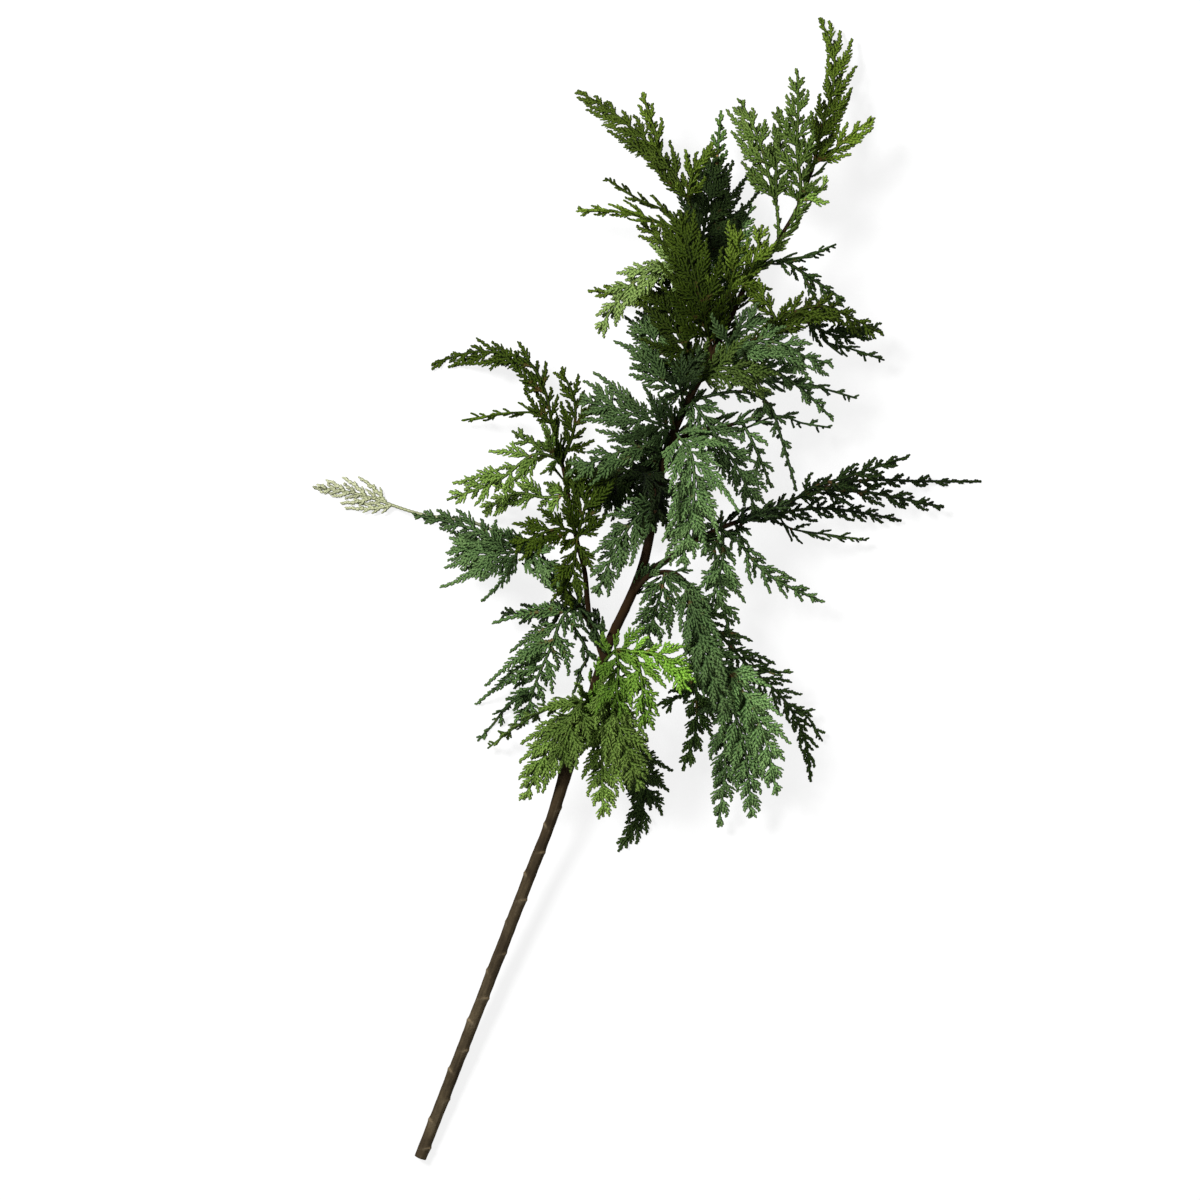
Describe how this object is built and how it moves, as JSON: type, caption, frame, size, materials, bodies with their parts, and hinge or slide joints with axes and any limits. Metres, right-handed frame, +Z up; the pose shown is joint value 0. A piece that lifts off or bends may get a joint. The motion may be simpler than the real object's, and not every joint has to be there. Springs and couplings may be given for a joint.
{
  "type": "white cedar branch",
  "caption": "Cut white cedar branch lying on a surface: a woody stem with side twigs and flat drooping sprays of scale leaves.",
  "frame": {"origin": "on the surface that the branch lies on, under the middle of its bounding box", "axes": "+Z is up from that surface; the cut end of the stem is at the -Y end and the branch grows towards +Y, leaning to +X"},
  "size_m": [0.508, 0.8689, 0.1224],
  "materials": {
    "bark": "rough, fibrous brown-grey bark",
    "bright": "matt scale leaves, fresh yellow-green",
    "meadow": "matt scale leaves, mid green",
    "olive": "matt scale leaves, olive green",
    "dark_olive": "matt scale leaves, deep olive green",
    "blue": "matt scale leaves, blue-green with a grey bloom",
    "blue_shade": "matt scale leaves, dark blue-green",
    "shade": "matt scale leaves, very dark green",
    "pale": "matt scale leaves, pale yellow-green",
    "faded": "matt scale leaves, faded straw green"
  },
  "bodies": {
    "root": {"main_stem": "bark", "right_twig": "bark", "left_lower_twig": "bark", "left_upper_twig": "bark", "arching_twig": "bark", "crown_right_twig": "bark", "crown_left_twig": "bark", "right_upper_twig": "bark", "right_middle_twig": "bark", "crown_tip_spray": "olive", "crown_fan_spray": "meadow", "crown_middle_spray": "meadow", "crown_left_spray": "olive", "crown_dark_spray": "shade", "left_blade_spray": "olive", "left_shoulder_spray": "olive", "light_left_spray": "pale", "heart_front_spray": "dark_olive", "heart_left_spray": "dark_olive", "crown_blue_spray": "blue_shade", "crown_front_spray": "olive", "right_spike_spray": "shade", "right_wing_spray": "olive", "right_wing_low_spray": "shade", "right_blue_arch": "blue", "right_blue_low_spray": "blue", "right_meadow_patch": "meadow", "right_hanging_spray": "blue", "right_middle_spray": "blue", "left_blue_top_spray": "blue_shade", "left_blue_high_spray": "blue_shade", "left_blue_fan": "blue", "left_blue_low_spray": "blue_shade", "left_dark_spray": "shade", "centre_left_spray": "blue", "centre_front_spray": "blue", "centre_right_spray": "blue", "right_long_spray": "shade", "right_long_low_spray": "shade", "right_drop_outer_spray": "blue_shade", "right_drop_inner_spray": "blue", "right_drop_low_spray": "blue_shade", "arch_long_spray": "blue", "arch_top_spray": "blue", "arch_left_spray": "blue_shade", "arch_right_spray": "blue", "arch_dark_spray": "shade", "arch_outer_spray": "shade", "left_fan_spray": "blue_shade", "left_wing_spray": "faded", "left_cluster_spray": "blue", "left_arc_spray": "dark_olive", "left_upright_spray": "dark_olive", "left_light_spray": "meadow", "left_middle_spray": "meadow", "left_olive_spray": "dark_olive", "bright_spray": "bright", "lower_middle_spray": "meadow", "lower_left_spray": "meadow", "lower_dark_spray": "shade"}
  },
  "joints": []
}
